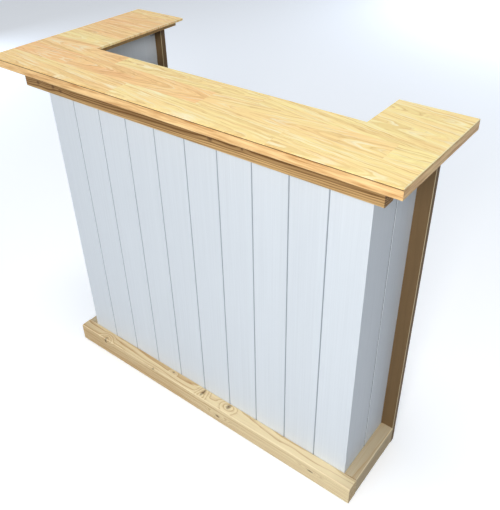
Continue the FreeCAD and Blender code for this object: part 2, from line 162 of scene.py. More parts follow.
class CounterColours(bpy.types.PropertyGroup):
    """Colours of the finishes, as each one looks in plain light; some also carry painted shade or a
    painted highlight, as their comments say.
    """

    oak_pale: colour_prop("Pale oak", "Lightest staves of the worktop", "FFEBA2")
    oak_warm: colour_prop("Warm oak", "Reddest staves of the worktop", "FDCA8B")
    oak_cream: colour_prop("Oak fleck", "Pale flecks between the growth lines", "FFF7D6")
    oak_line: colour_prop("Oak line", "Growth lines and pores of the print", "B4701F")
    edging: colour_prop("Edging", "Face of the worktop's lipping", "FFD798")
    edging_core: colour_prop("Edging core", "Brown core in the V under the rim", "7A5A30")
    chipboard: colour_prop("Chipboard", "Sawn edge of the boards under the worktop", "C9A878")
    pine_pale: colour_prop("Pine early wood", "Soft, pale part of a growth ring", "EEDAAE")
    pine_line: colour_prop("Pine late wood", "Hard, dark part of a growth ring", "B4874F")
    # the side rails' pale wood is painted darker, as the shade that falls on them beside the cladding
    side_rail_shaded_pale: colour_prop("Side rail early wood", "Duller pale wood of the side rails", "CDBD9C")
    batten_pale: colour_prop("Batten early wood", "The batten's pale wood", "D6AE74")
    batten_line: colour_prop("Batten late wood", "The batten's dark growth lines", "6E4A20")
    # the rear boards are brown wood, painted darker still as the counter's shadow that falls on them
    shaded_brown: colour_prop("Stained early wood", "Pale wood of the rear boards", "6E5637")
    shaded_brown_line: colour_prop("Stained late wood", "Growth lines of the rear boards", "574428")
    # the arris colour is a painted highlight on the timbers' rounded arrises, over wood a little paler
    # there
    arris: colour_prop("Arris", "Planed arrises of the timbers", "FBE9BF")
    knot: colour_prop("Knot", "Heart of a knot", "5A3B1E")
    paint: colour_prop("Paint", "White paint on the matchboards", "DDE3E8")
    # the joint colours are painted shade in the V joints, much darker on the shaded side walls
    front_joint_shade: colour_prop("Front joints", "Paint in the V joints of the front", "9BA2A9")
    side_joint_shade: colour_prop("Side joints", "Paint in the V joints of the side walls", "3C4248")
    yellow_zinc: colour_prop("Yellow zinc", "Passivated screws", "C9B26C")
    bright_zinc: colour_prop("Bright zinc", "Angle brackets", "B9BDC2")
    floor: colour_prop("Floor", "Studio floor as it is seen", "F1F1F0")
    paving: colour_prop("Floor bounce", "Studio floor as it throws light back", "9A9A98")
    sky: colour_prop("Sky", "Light from all round, and the blue of the cool lamps", "828B98")


# ------------------------------------------------------------------ materials
def add(tree, kind, inputs=None, **settings):
    """Add a node with its settings; inputs holds values, or sockets and nodes to link."""
    node = tree.nodes.new(kind)
    for name, value in settings.items():
        setattr(node, name, value)
    for key, value in (inputs or {}).items():
        socket = node.inputs[key]
        if isinstance(key, str):
            socket = next(s for s in node.inputs if s.name == key and s.enabled)
        if isinstance(value, bpy.types.Node):
            value = next(s for s in value.outputs if s.enabled)
        if isinstance(value, bpy.types.NodeSocket):
            tree.links.new(value, socket)
        else:
            socket.default_value = value
    return node


def new_material(name):
    """An empty material: its tree, its shader, and object coordinates in metres."""
    material = bpy.data.materials.new(name)
    material.use_nodes = True
    tree = material.node_tree
    shader = tree.nodes["Principled BSDF"]
    place = add(tree, "ShaderNodeTexCoord").outputs["Object"]
    return material, tree, shader, place


def join(tree, shader, **links):
    """Link sockets to the shader's inputs; an underscore stands for a space."""
    for name, value in links.items():
        socket = shader.inputs[name.replace("_", " ")]
        if isinstance(value, bpy.types.Node):
            value = next(s for s in value.outputs if s.enabled)
        tree.links.new(value, socket)


def along(axis, lengthwise, crosswise):
    """A vector with one value along an axis and another across it."""
    return [lengthwise if i == axis else crosswise for i in range(3)]


def streaks(tree, place, axis, width, length, detail=3.0, seed=0.0):
    """Noise drawn out along an axis, from 0 to 1, with streaks of a real width and length."""
    scaled = add(tree, "ShaderNodeVectorMath",
                 {0: place, 1: along(axis, 1 / length, 1 / width), 2: (seed, seed * 2, seed * 3)},
                 operation="MULTIPLY_ADD")
    return add(tree, "ShaderNodeTexNoise", {"Vector": scaled, "Scale": 1.0, "Detail": detail})


def dress(node, material):
    """Give a solid of the counter its finish."""
    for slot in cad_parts[node].material_slots:
        slot.material = material


def knot_group():
    """Node group for one knot: how far it bends the rings, and how dark the wood is there.

    A dead branch leaves a dark heart in a brown rim of bark, and pale wood grows round it.  The
    group is made the first time that a timber needs it.
    """
    group = bpy.data.node_groups.get("Knot")
    if group:
        return group
    sizes = bpy.context.scene.counter_sizes
    group = bpy.data.node_groups.new("Knot", "ShaderNodeTree")
    face = group.interface
    face.new_socket("Vector", in_out="INPUT", socket_type="NodeSocketVector")
    face.new_socket("Centre", in_out="INPUT", socket_type="NodeSocketVector")
    face.new_socket("Density", in_out="INPUT", socket_type="NodeSocketVector")
    face.new_socket("Spread", in_out="INPUT", socket_type="NodeSocketVector")
    face.new_socket("Bend", in_out="OUTPUT", socket_type="NodeSocketFloat")
    face.new_socket("Core", in_out="OUTPUT", socket_type="NodeSocketFloat")
    given = add(group, "NodeGroupInput").outputs
    away = add(group, "ShaderNodeVectorMath", {0: given["Vector"], 1: given["Centre"]},
               operation="SUBTRACT")
    wobble = add(group, "ShaderNodeTexNoise",
                 {"Vector": given["Vector"], "Scale": 1 / sizes.knot_edge})
    results = []
    for density in ("Density", "Spread"):
        scaled = add(group, "ShaderNodeVectorMath", {0: away, 1: given[density]},
                     operation="MULTIPLY")
        results.append(add(group, "ShaderNodeVectorMath", {0: scaled}, operation="LENGTH"))
    uneven = add(group, "ShaderNodeMath", {0: wobble, 1: 1.4, 2: results[0].outputs["Value"]},
                 operation="MULTIPLY_ADD")
    core = add(group, "ShaderNodeValToRGB",
               {"Fac": add(group, "ShaderNodeMath", {0: uneven, 1: 0.4}, operation="MULTIPLY")})
    ramp = core.color_ramp
    ramp.elements[0].position, ramp.elements[0].color = 0.42, (0.9, 0.9, 0.9, 1.0)
    ramp.elements[1].position, ramp.elements[1].color = 0.86, (0.0, 0.0, 0.0, 1.0)
    for position, value in ((0.56, 0.42), (0.64, 0.60), (0.74, 0.12)):
        ramp.elements.new(position).color = (value, value, value, 1.0)
    bend = add(group, "ShaderNodeMapRange",
               {"Value": results[1].outputs["Value"], "From Min": 0.0, "From Max": 1.0,
                "To Min": 1.0, "To Max": 0.0}, interpolation_type="SMOOTHERSTEP")
    add(group, "NodeGroupOutput", {"Bend": bend, "Core": core})
    return group


def arris(tree):
    """How far a surface turns off the faces of a squared piece: 1 on its rounded arrises."""
    normal = add(tree, "ShaderNodeNewGeometry").outputs["Normal"]
    turn = add(tree, "ShaderNodeVectorMath", {0: normal}, operation="ABSOLUTE")
    part = add(tree, "ShaderNodeSeparateXYZ", {0: turn}).outputs
    most = add(tree, "ShaderNodeMath", {0: part["X"], 1: part["Y"]}, operation="MAXIMUM")
    most = add(tree, "ShaderNodeMath", {0: most, 1: part["Z"]}, operation="MAXIMUM")
    return add(tree, "ShaderNodeMapRange",
               {"Value": most, "From Min": 0.88, "From Max": 0.995, "To Min": 1.0, "To Max": 0.0},
               interpolation_type="SMOOTHSTEP")


def log_radius(tree, place, axis, heart, wander, seed):
    """How far a point lies from the heart of its log, which strays and wavers on its way."""
    centred = add(tree, "ShaderNodeVectorMath", {0: place, 1: heart}, operation="SUBTRACT")
    flat = add(tree, "ShaderNodeVectorMath", {0: centred, 1: along(axis, 0, 1)},
               operation="MULTIPLY")
    radius = add(tree, "ShaderNodeVectorMath", {0: flat}, operation="LENGTH").outputs["Value"]
    stray = streaks(tree, place, axis, 90 * MM, 500 * MM, 2.0, seed)
    radius = add(tree, "ShaderNodeMath", {0: stray, 1: wander, 2: radius},
                 operation="MULTIPLY_ADD")
    wobble = streaks(tree, place, axis, 12 * MM, 90 * MM, 2.0, seed + 4)
    return add(tree, "ShaderNodeMath", {0: wobble, 1: WAVER, 2: radius},
               operation="MULTIPLY_ADD")


def grow_knots(tree, place, axis, knots, bend, radius):
    """Push the rings aside at each knot: sockets for the new radius and for how dark it is."""
    dark = 0.0
    for centre, half in knots:
        knot = add(tree, "ShaderNodeGroup", node_tree=knot_group())
        knot.inputs["Centre"].default_value = centre
        knot.inputs["Density"].default_value = [1 / h for h in half]
        knot.inputs["Spread"].default_value = [1 / (h * (9 if i == axis else 4))
                                               for i, h in enumerate(half)]
        tree.links.new(place, knot.inputs["Vector"])
        radius = add(tree, "ShaderNodeMath", {0: knot.outputs["Bend"], 1: bend, 2: radius},
                     operation="MULTIPLY_ADD")
        dark = add(tree, "ShaderNodeMath", {0: dark, 1: knot.outputs["Core"]}, operation="MAXIMUM")
    return radius, dark


def growth_rings(tree, radius):
    """Late wood, from 0 to 1: each ring darkens slowly and ends in a hard line.

    The rings have their real spacing, wider in some years than in others.
    """
    sizes = bpy.context.scene.counter_sizes
    years = add(tree, "ShaderNodeMath", {0: radius, 1: sizes.pine_ring}, operation="DIVIDE")
    slow = add(tree, "ShaderNodeTexNoise", {"W": years, "Scale": 0.45}, noise_dimensions="1D")
    years = add(tree, "ShaderNodeMath", {0: slow, 1: 1.8, 2: years}, operation="MULTIPLY_ADD")
    phase = add(tree, "ShaderNodeMath", {0: years}, operation="FRACT")
    late = add(tree, "ShaderNodeValToRGB", {"Fac": phase})
    ramp = late.color_ramp
    ramp.elements[0].position, ramp.elements[0].color = 0.0, (0.0, 0.0, 0.0, 1.0)
    ramp.elements[1].position, ramp.elements[1].color = 1.0, (0.15, 0.15, 0.15, 1.0)
    for position, value in ((0.45, 0.12), (0.80, 0.70), (0.92, 1.0)):
        ramp.elements.new(position).color = (value, value, value, 1.0)
    return late


def sawn_end(tree, place, axis):
    """Specks on the sawn ends of a timber, which drink in dirt and light; 0 on its faces."""
    sizes = bpy.context.scene.counter_sizes
    normal = add(tree, "ShaderNodeNewGeometry").outputs["Normal"]
    facing = add(tree, "ShaderNodeSeparateXYZ", {0: normal}).outputs["XYZ"[axis]]
    facing = add(tree, "ShaderNodeMath", {0: facing}, operation="ABSOLUTE")
    sawn = add(tree, "ShaderNodeMath", {0: facing, 1: 0.9}, operation="GREATER_THAN")
    specks = add(tree, "ShaderNodeTexNoise",
                 {"Vector": place, "Scale": 1 / sizes.sawn_grain, "Detail": 2.0})
    return add(tree, "ShaderNodeMath", {0: sawn, 1: specks}, operation="MULTIPLY")


def softwood(name, axis, heart, pale, line, knots=(), contrast=1.0, seed=0.0, shade_radius=0.0,
             wander=30 * MM, bend=14 * MM, lean=0.0, browner=0.0):
    """Planed softwood, from a log whose heart runs along axis through the point heart.

    Rings of pale early wood end in a hard, darker line of late wood, so the faces show long
    lines where they cut the rings and arches where the heart wanders.  Within the radius
    heartwood the wood is painted darker: painted shade, which on the batten stands for the
    worktop's shadow.  The planed arrises are smoother than the faces, and painted paler: a
    painted highlight on their rounding, over wood that is a little paler there.
    wander is how far the heart strays, bend is how far a knot pushes the rings aside, and knots
    holds (centre, half sizes), all in metres.  For each metre along the timber, lean is how much
    further from the heart it lies, and browner how much more of the late wood's colour it has.
    """
    sizes = bpy.context.scene.counter_sizes
    colours = bpy.context.scene.counter_colours
    material, tree, shader, place = new_material(name)
    distance = add(tree, "ShaderNodeSeparateXYZ", {0: place}).outputs["XYZ"[axis]]
    radius = log_radius(tree, place, axis, heart, wander, seed)
    radius = add(tree, "ShaderNodeMath", {0: distance, 1: lean, 2: radius},
                 operation="MULTIPLY_ADD")
    radius, dark = grow_knots(tree, place, axis, knots, bend, radius)
    late = growth_rings(tree, radius)
    fibre = streaks(tree, place, axis, sizes.pine_fibre, 120 * MM, 4.0, seed + 9)
    patch = streaks(tree, place, axis, 50 * MM, 350 * MM, 2.0, seed + 14)
    # the rings, fibres and patches, the timber's length and its sawn ends each add late wood
    share = add(tree, "ShaderNodeMath", {0: late, 1: 0.62 * contrast}, operation="MULTIPLY")
    for pattern, most in ((fibre, 0.85 * contrast), (patch, 0.6 * contrast),
                          (distance, browner), (sawn_end(tree, place, axis), 0.7)):
        share = add(tree, "ShaderNodeMath", {0: pattern, 1: most, 2: share},
                    operation="MULTIPLY_ADD")
    share = add(tree, "ShaderNodeMath", {0: share, 1: 0.65 * contrast}, operation="SUBTRACT",
                use_clamp=True)
    # within that radius the wood is painted darker, as shade: the worktop's shadow on the batten
    if shade_radius:
        painted_shade = add(tree, "ShaderNodeMapRange",
                    {"Value": radius, "From Min": shade_radius - 4 * MM,
                     "From Max": shade_radius + 4 * MM, "To Min": 0.55, "To Max": 0.0},
                    interpolation_type="SMOOTHSTEP")
        share = add(tree, "ShaderNodeMath", {0: share, 1: painted_shade}, operation="ADD", use_clamp=True)
    wood = add(tree, "ShaderNodeMix", {"Factor": share, "A": pale, "B": line}, data_type="RGBA")
    edge = arris(tree)
    # the rounded arrises are painted paler: a painted highlight, over wood a little paler there
    painted_highlight = add(tree, "ShaderNodeMath", {0: edge, 1: 0.55}, operation="MULTIPLY")
    wood = add(tree, "ShaderNodeMix", {"Factor": painted_highlight, "A": wood, "B": colours.arris},
               data_type="RGBA")
    if knots:
        wood = add(tree, "ShaderNodeMix", {"Factor": dark, "A": wood, "B": colours.knot},
                   data_type="RGBA")
    height = add(tree, "ShaderNodeMath", {0: late, 1: 0.4, 2: fibre}, operation="MULTIPLY_ADD")
    bump = add(tree, "ShaderNodeBump", {"Height": height, "Strength": 0.25, "Distance": 0.6 * MM})
    rough = add(tree, "ShaderNodeMapRange", {"Value": fibre, "To Min": 0.58, "To Max": 0.78})
    rough = add(tree, "ShaderNodeMath", {0: edge, 1: -0.2, 2: rough}, operation="MULTIPLY_ADD")
    shader.inputs["Specular IOR Level"].default_value = 0.35
    join(tree, shader, Base_Color=wood, Roughness=rough, Normal=bump)
    return material


def stave_grid(tree, run):
    """Where a point lies among the staves, from its distances along X and Y.

    Gives sockets for its row and for its stave in that row, which are whole numbers, and for how
    far along and across that stave it lies, from 0 to 1.
    """
    sizes = bpy.context.scene.counter_sizes
    rows = add(tree, "ShaderNodeMath", {0: run["Y"], 1: sizes.stave_width}, operation="DIVIDE")
    row = add(tree, "ShaderNodeMath", {0: rows}, operation="FLOOR")
    across = add(tree, "ShaderNodeMath", {0: rows}, operation="FRACT")
    # each row starts at its own share of a stave
    key = add(tree, "ShaderNodeMath", {0: row, 1: 0.5}, operation="ADD")
    key = add(tree, "ShaderNodeMath", {0: key, 1: len(STAVE_STARTS)}, operation="DIVIDE")
    starts = add(tree, "ShaderNodeValToRGB", {"Fac": key})
    starts.color_ramp.interpolation = "CONSTANT"
    stops = starts.color_ramp.elements
    stops.remove(stops[1])
    for i, share in enumerate(STAVE_STARTS):
        stop = stops[0] if i == 0 else stops.new(i / len(STAVE_STARTS))
        stop.color = (share, share, share, 1.0)
    lengths = add(tree, "ShaderNodeMath", {0: run["X"], 1: sizes.stave_length},
                  operation="DIVIDE")
    lengths = add(tree, "ShaderNodeMath", {0: lengths, 1: starts}, operation="SUBTRACT")
    stave = add(tree, "ShaderNodeMath", {0: lengths}, operation="FLOOR")
    down = add(tree, "ShaderNodeMath", {0: lengths}, operation="FRACT")
    return row, stave, down, across


def stave_chances(tree, stave, row, seed):
    """A colour that holds three chances drawn for each stave, from 0 to 1."""
    name = add(tree, "ShaderNodeCombineXYZ", {"X": stave, "Y": row, "Z": seed})
    chance = add(tree, "ShaderNodeTexWhiteNoise", {"Vector": name}, noise_dimensions="3D")
    return chance.outputs["Color"]


def growth_flow(tree, run, shift, draw, down, across):
    """A vector that runs along the growth lines of a stave in X, and across them in Y.

    The lines make arches, because the log tapers along the stave and its heart lies under the
    middle of the arch.  shift is the stave's own place in the log.
    """
    sizes = bpy.context.scene.counter_sizes
    side = add(tree, "ShaderNodeMath", {0: draw["Red"], 1: across}, operation="SUBTRACT")
    side = add(tree, "ShaderNodeMath", {0: side, 1: sizes.stave_width}, operation="MULTIPLY")
    above = streaks(tree, shift, X, 50 * MM, 150 * MM, 2.0)
    above = add(tree, "ShaderNodeMath", {0: above, 1: HEART_DEPTH}, operation="MULTIPLY")
    point = add(tree, "ShaderNodeCombineXYZ", {"X": side, "Y": above})
    radius = add(tree, "ShaderNodeVectorMath", {0: point}, operation="LENGTH").outputs["Value"]
    taper = add(tree, "ShaderNodeMath",
                {0: draw["Green"], 1: 2 * STEEPEST_TAPER, 2: -STEEPEST_TAPER},
                operation="MULTIPLY_ADD")
    down = add(tree, "ShaderNodeMath", {0: down, 1: sizes.stave_length}, operation="MULTIPLY")
    radius = add(tree, "ShaderNodeMath", {0: down, 1: taper, 2: radius}, operation="MULTIPLY_ADD")
    ripple = streaks(tree, shift, X, 16 * MM, 40 * MM, 3.0, 5)
    radius = add(tree, "ShaderNodeMath", {0: ripple, 1: RIPPLE, 2: radius},
                 operation="MULTIPLY_ADD")
    apart = add(tree, "ShaderNodeMath", {0: draw["Blue"], 1: 0.9}, operation="MULTIPLY")
    flow = add(tree, "ShaderNodeCombineXYZ", {"X": run["X"], "Y": radius, "Z": apart})
    return flow.outputs["Vector"]


def stave_print(tree, place):
    """Printed oak in staves: sockets for its colour and for how deep its pores are."""
    sizes = bpy.context.scene.counter_sizes
    colours = bpy.context.scene.counter_colours
    corner = add(tree, "ShaderNodeVectorMath", {0: place, 1: (LOW.x, LOW.y, 0)},
                 operation="SUBTRACT")
    run = add(tree, "ShaderNodeSeparateXYZ", {0: corner}).outputs
    row, stave, down, across = stave_grid(tree, run)
    # each stave has its own tone, and is cut from its own place in the log
    tone = add(tree, "ShaderNodeSeparateColor",
               {"Color": stave_chances(tree, stave, row, TONE_SEED)}).outputs
    chances = stave_chances(tree, stave, row, FIGURE_SEED)
    draw = add(tree, "ShaderNodeSeparateColor", {"Color": chances}).outputs
    shift = add(tree, "ShaderNodeVectorMath", {0: chances, 1: (9, 9, 9), 2: place},
                operation="MULTIPLY_ADD")
    # growth bands, streaks of pores and pale flecks all follow the growth lines
    flow = growth_flow(tree, run, shift, draw, down, across)
    ring = streaks(tree, flow, X, sizes.oak_ring, 400 * MM, 1.0, 41)
    ring = add(tree, "ShaderNodeMapRange", {"Value": ring, "From Min": 0.44, "From Max": 0.66},
               interpolation_type="SMOOTHSTEP")
    pores = streaks(tree, flow, X, sizes.oak_pore, 40 * MM, 3.0)
    pores = add(tree, "ShaderNodeMapRange", {"Value": pores, "From Min": 0.46, "From Max": 0.70},
                interpolation_type="SMOOTHSTEP")
    fleck = streaks(tree, flow, X, sizes.oak_pore * 2, 90 * MM, 2.0, 23)
    fleck = add(tree, "ShaderNodeMapRange",
                {"Value": fleck, "From Min": 0.48, "From Max": 0.72, "To Max": 0.6},
                interpolation_type="SMOOTHSTEP")
    early = add(tree, "ShaderNodeMath", {0: 1.0, 1: ring}, operation="SUBTRACT")
    fleck = add(tree, "ShaderNodeMath", {0: fleck, 1: early}, operation="MULTIPLY")
    cloud = streaks(tree, shift, X, 30 * MM, 160 * MM, 2.0, 17)
    warmth = add(tree, "ShaderNodeMath", {0: cloud, 1: 0.9, 2: -0.45}, operation="MULTIPLY_ADD")
    warmth = add(tree, "ShaderNodeMath", {0: tone["Red"], 1: warmth}, operation="ADD",
                 use_clamp=True)
    # pores crowd into the dark part of each ring
    crowd = add(tree, "ShaderNodeMath", {0: pores, 1: 0.16, 2: 0.21}, operation="MULTIPLY_ADD")
    line = add(tree, "ShaderNodeMath", {0: ring, 1: crowd}, operation="MULTIPLY")
    line = add(tree, "ShaderNodeMath", {0: pores, 1: 0.14, 2: line}, operation="MULTIPLY_ADD")
    colour = colours.oak_pale
    for share, tint in ((warmth, colours.oak_warm), (fleck, colours.oak_cream),
                        (line, colours.oak_line)):
        colour = add(tree, "ShaderNodeMix", {"Factor": share, "A": colour, "B": tint},
                     data_type="RGBA")
    return colour, pores


def seam(tree, place):
    """How brown the two bevels are that meet in a V under the rim: less at the ends."""
    height = add(tree, "ShaderNodeSeparateXYZ", {0: place}).outputs["Z"]
    near = add(tree, "ShaderNodeMath",
               {0: height, 1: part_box("lipping_front")[1].z, 2: 1.2 * MM}, operation="COMPARE")
    normal = add(tree, "ShaderNodeNewGeometry").outputs["Normal"]
    turn = add(tree, "ShaderNodeSeparateXYZ", {0: normal}).outputs
    upward = add(tree, "ShaderNodeMath", {0: turn["Z"]}, operation="ABSOLUTE")
    tilted = add(tree, "ShaderNodeMath", {0: upward, 1: 0.7, 2: 0.15}, operation="COMPARE")
    endward = add(tree, "ShaderNodeMath", {0: turn["X"]}, operation="ABSOLUTE")
    bare = add(tree, "ShaderNodeMath", {0: endward, 1: -0.9, 2: 1.0}, operation="MULTIPLY_ADD")
    bare = add(tree, "ShaderNodeMath", {0: bare, 1: tilted}, operation="MULTIPLY")
    return add(tree, "ShaderNodeMath", {0: near, 1: bare}, operation="MULTIPLY")


def oak_laminate():
    """High-pressure laminate printed with oak staves: satin, with pressed-in pores.

    Its brown core is bare on the bevel under the rim.
    """
    colours = bpy.context.scene.counter_colours
    material, tree, shader, place = new_material("Oak print laminate")
    colour, pores = stave_print(tree, place)
    edge = arris(tree)
    normal = add(tree, "ShaderNodeNewGeometry").outputs["Normal"]
    turn = add(tree, "ShaderNodeSeparateXYZ", {0: normal}).outputs
    # where the pressed arris runs across the grain it is painted pale, as a highlight, and along the
    # grain it is painted darker, as shade that damps its gleam
    for way, tint, most in (("X", colours.oak_cream, 0.75), ("Y", colours.oak_line, 0.35)):
        part = add(tree, "ShaderNodeMath", {0: turn[way]}, operation="ABSOLUTE")
        part = add(tree, "ShaderNodeMath", {0: part, 1: most}, operation="MULTIPLY")
        part = add(tree, "ShaderNodeMath", {0: part, 1: edge}, operation="MULTIPLY")
        colour = add(tree, "ShaderNodeMix", {"Factor": part, "A": colour, "B": tint},
                     data_type="RGBA")
    colour = add(tree, "ShaderNodeMix",
                 {"Factor": seam(tree, place), "A": colour, "B": colours.edging_core},
                 data_type="RGBA")
    rough = add(tree, "ShaderNodeMath", {0: edge, 1: 0.3, 2: 0.5}, operation="MULTIPLY_ADD")
    bump = add(tree, "ShaderNodeBump", {"Height": pores, "Strength": 0.12, "Distance": 0.4 * MM},
               invert=True)
    shader.inputs["Specular IOR Level"].default_value = 0.25
    join(tree, shader, Base_Color=colour, Roughness=rough, Normal=bump)
    return material


def oak_edging(axis):
    """Laminate lipping with a straight-grained oak print, its brown core bare on the bevel."""
    sizes = bpy.context.scene.counter_sizes
    colours = bpy.context.scene.counter_colours
    material, tree, shader, place = new_material("Oak print edging " + "XYZ"[axis])
    fine = streaks(tree, place, axis, sizes.edging_line, 45 * MM, 3.0, 2)
    broad = streaks(tree, place, axis, sizes.edging_band, 160 * MM, 2.0, 6)
    share = add(tree, "ShaderNodeMath", {0: fine, 1: broad}, operation="MULTIPLY")
    share = add(tree, "ShaderNodeMapRange",
                {"Value": share, "From Min": 0.12, "From Max": 0.40, "To Max": 0.75})
    face = add(tree, "ShaderNodeMix",
               {"Factor": share, "A": colours.edging, "B": colours.oak_line}, data_type="RGBA")
    colour = add(tree, "ShaderNodeMix",
                 {"Factor": seam(tree, place), "A": face, "B": colours.edging_core},
                 data_type="RGBA")
    bump = add(tree, "ShaderNodeBump", {"Height": fine, "Strength": 0.1, "Distance": 0.3 * MM})
    shader.inputs["Specular IOR Level"].default_value = 0.4
    shader.inputs["Roughness"].default_value = 0.45
    join(tree, shader, Base_Color=colour, Normal=bump)
    return material


def chipboard():
    """Sawn chipboard: flakes of pale and brown wood with dark pits between them."""
    sizes = bpy.context.scene.counter_sizes
    colours = bpy.context.scene.counter_colours
    material, tree, shader, place = new_material("Chipboard")
    flakes = add(tree, "ShaderNodeTexVoronoi", {"Vector": place, "Scale": 1 / sizes.chip})
    dust = add(tree, "ShaderNodeTexNoise",
               {"Vector": place, "Scale": 1 / sizes.chip_dust, "Detail": 3.0})
    tone = add(tree, "ShaderNodeSeparateColor", {"Color": flakes.outputs["Color"]})
    share = add(tree, "ShaderNodeMath", {0: tone, 1: dust}, operation="MULTIPLY")
    colour = add(tree, "ShaderNodeMix",
                 {"Factor": share, "A": colours.chipboard, "B": colours.pine_line},
                 data_type="RGBA")
    bump = add(tree, "ShaderNodeBump",
               {"Height": flakes.outputs["Distance"], "Strength": 0.5, "Distance": 0.5 * MM})
    shader.inputs["Roughness"].default_value = 0.85
    shader.inputs["Specular IOR Level"].default_value = 0.25
    join(tree, shader, Base_Color=colour, Normal=bump)
    return material


def painted_board():
    """White satin paint brushed along the boards, with the wood's grain showing as relief."""
    sizes = bpy.context.scene.counter_sizes
    colours = bpy.context.scene.counter_colours
    material, tree, shader, place = new_material("White painted pine")
    part = add(tree, "ShaderNodeSeparateXYZ", {0: place})
    both = add(tree, "ShaderNodeMath", {0: part.outputs["X"], 1: part.outputs["Y"]},
               operation="ADD")
    number = add(tree, "ShaderNodeMath", {0: both, 1: sizes.board_cover}, operation="DIVIDE")
    number = add(tree, "ShaderNodeMath", {0: number}, operation="FLOOR")
    board = add(tree, "ShaderNodeTexWhiteNoise", {"W": number}, noise_dimensions="1D")
    brush = streaks(tree, place, Z, sizes.brush_mark, 220 * MM, 4.0)
    grain = streaks(tree, place, Z, 6 * MM, 500 * MM, 3.0, 7)
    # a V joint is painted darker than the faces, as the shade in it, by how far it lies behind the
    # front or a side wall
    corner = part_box("front_board_01")[0]
    from_front = add(tree, "ShaderNodeMath", {0: part.outputs["Y"], 1: corner.y},
                     operation="SUBTRACT")
    from_middle = add(tree, "ShaderNodeMath", {0: part.outputs["X"]}, operation="ABSOLUTE")
    from_side = add(tree, "ShaderNodeMath", {0: -corner.x, 1: from_middle}, operation="SUBTRACT")
    depth = add(tree, "ShaderNodeMath", {0: from_front, 1: from_side}, operation="MINIMUM")
    groove_shade = add(tree, "ShaderNodeMapRange",
                 {"Value": depth, "From Min": 0.2 * MM, "From Max": 1.4 * MM},
                 interpolation_type="SMOOTHSTEP")
    within = add(tree, "ShaderNodeMath", {0: depth, 1: sizes.joint_depth}, operation="LESS_THAN")
    groove_shade = add(tree, "ShaderNodeMath", {0: groove_shade, 1: within}, operation="MULTIPLY")
    # the side walls' joints are painted darker still: painted shade, as the side walls stand out of
    # the light
    at_side = add(tree, "ShaderNodeMath", {0: from_side, 1: from_front}, operation="LESS_THAN")
    joint = add(tree, "ShaderNodeMix",
                {"Factor": at_side, "A": colours.front_joint_shade, "B": colours.side_joint_shade},
                data_type="RGBA")
    # brush marks, grain and boards each change the paint's tone by a few hundredths
    tone = add(tree, "ShaderNodeMath", {0: brush, 1: 0.10, 2: 0.905}, operation="MULTIPLY_ADD")
    tone = add(tree, "ShaderNodeMath", {0: grain, 1: 0.06, 2: tone}, operation="MULTIPLY_ADD")
    tone = add(tree, "ShaderNodeMath", {0: board.outputs["Value"], 1: 0.03, 2: tone},
               operation="MULTIPLY_ADD")
    colour = add(tree, "ShaderNodeMix",
                 {"Factor": groove_shade, "A": colours.paint, "B": joint}, data_type="RGBA")
    colour = add(tree, "ShaderNodeVectorMath", {0: colour, "Scale": tone}, operation="SCALE")
    height = add(tree, "ShaderNodeMath", {0: grain, 1: brush}, operation="ADD")
    bump = add(tree, "ShaderNodeBump", {"Height": height, "Strength": 0.3, "Distance": 0.4 * MM})
    shader.inputs["Roughness"].default_value = 0.5
    shader.inputs["Specular IOR Level"].default_value = 0.4
    join(tree, shader, Base_Color=colour, Normal=bump)
    return material


def zinc(name, colour):
    """Zinc-plated steel: dull metal, clouded where the plating took unevenly."""
    sizes = bpy.context.scene.counter_sizes
    material, tree, shader, place = new_material(name)
    cloud = add(tree, "ShaderNodeTexNoise",
                {"Vector": place, "Scale": 1 / sizes.zinc_cloud, "Detail": 4.0})
    rough = add(tree, "ShaderNodeMapRange", {"Value": cloud, "To Min": 0.25, "To Max": 0.5})
    tone = add(tree, "ShaderNodeMath", {0: cloud, 1: 0.3, 2: 0.8}, operation="MULTIPLY_ADD")
    tint = add(tree, "ShaderNodeVectorMath", {0: colour[:3], "Scale": tone}, operation="SCALE")
    shader.inputs["Metallic"].default_value = 1.0
    join(tree, shader, Base_Color=tint, Roughness=rough)
    return material


# ------------------------------------------------------------------ operators
class COUNTER_OT_worktop(bpy.types.Operator):
    """Finish the worktop's sheet, its lipping and the boards under it"""

    bl_idname = "counter.worktop"
    bl_label = "Worktop"

    def execute(self, context):
        dress("worktop_sheet", oak_laminate())
        along_front = oak_edging(X)
        along_side = oak_edging(Y)
        dress("lipping_front", along_front)
        dress("lipping_left", along_side)
        dress("lipping_right", along_side)
        board = chipboard()
        for side in ("front", "left", "right"):
            dress("base_board_" + side, board)
        return {"FINISHED"}


def heart_of(node, offset):
    """A point beside a timber's middle, where the heart of its log ran."""
    low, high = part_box(node)
    return (low + high) / 2 + Vector(offset)


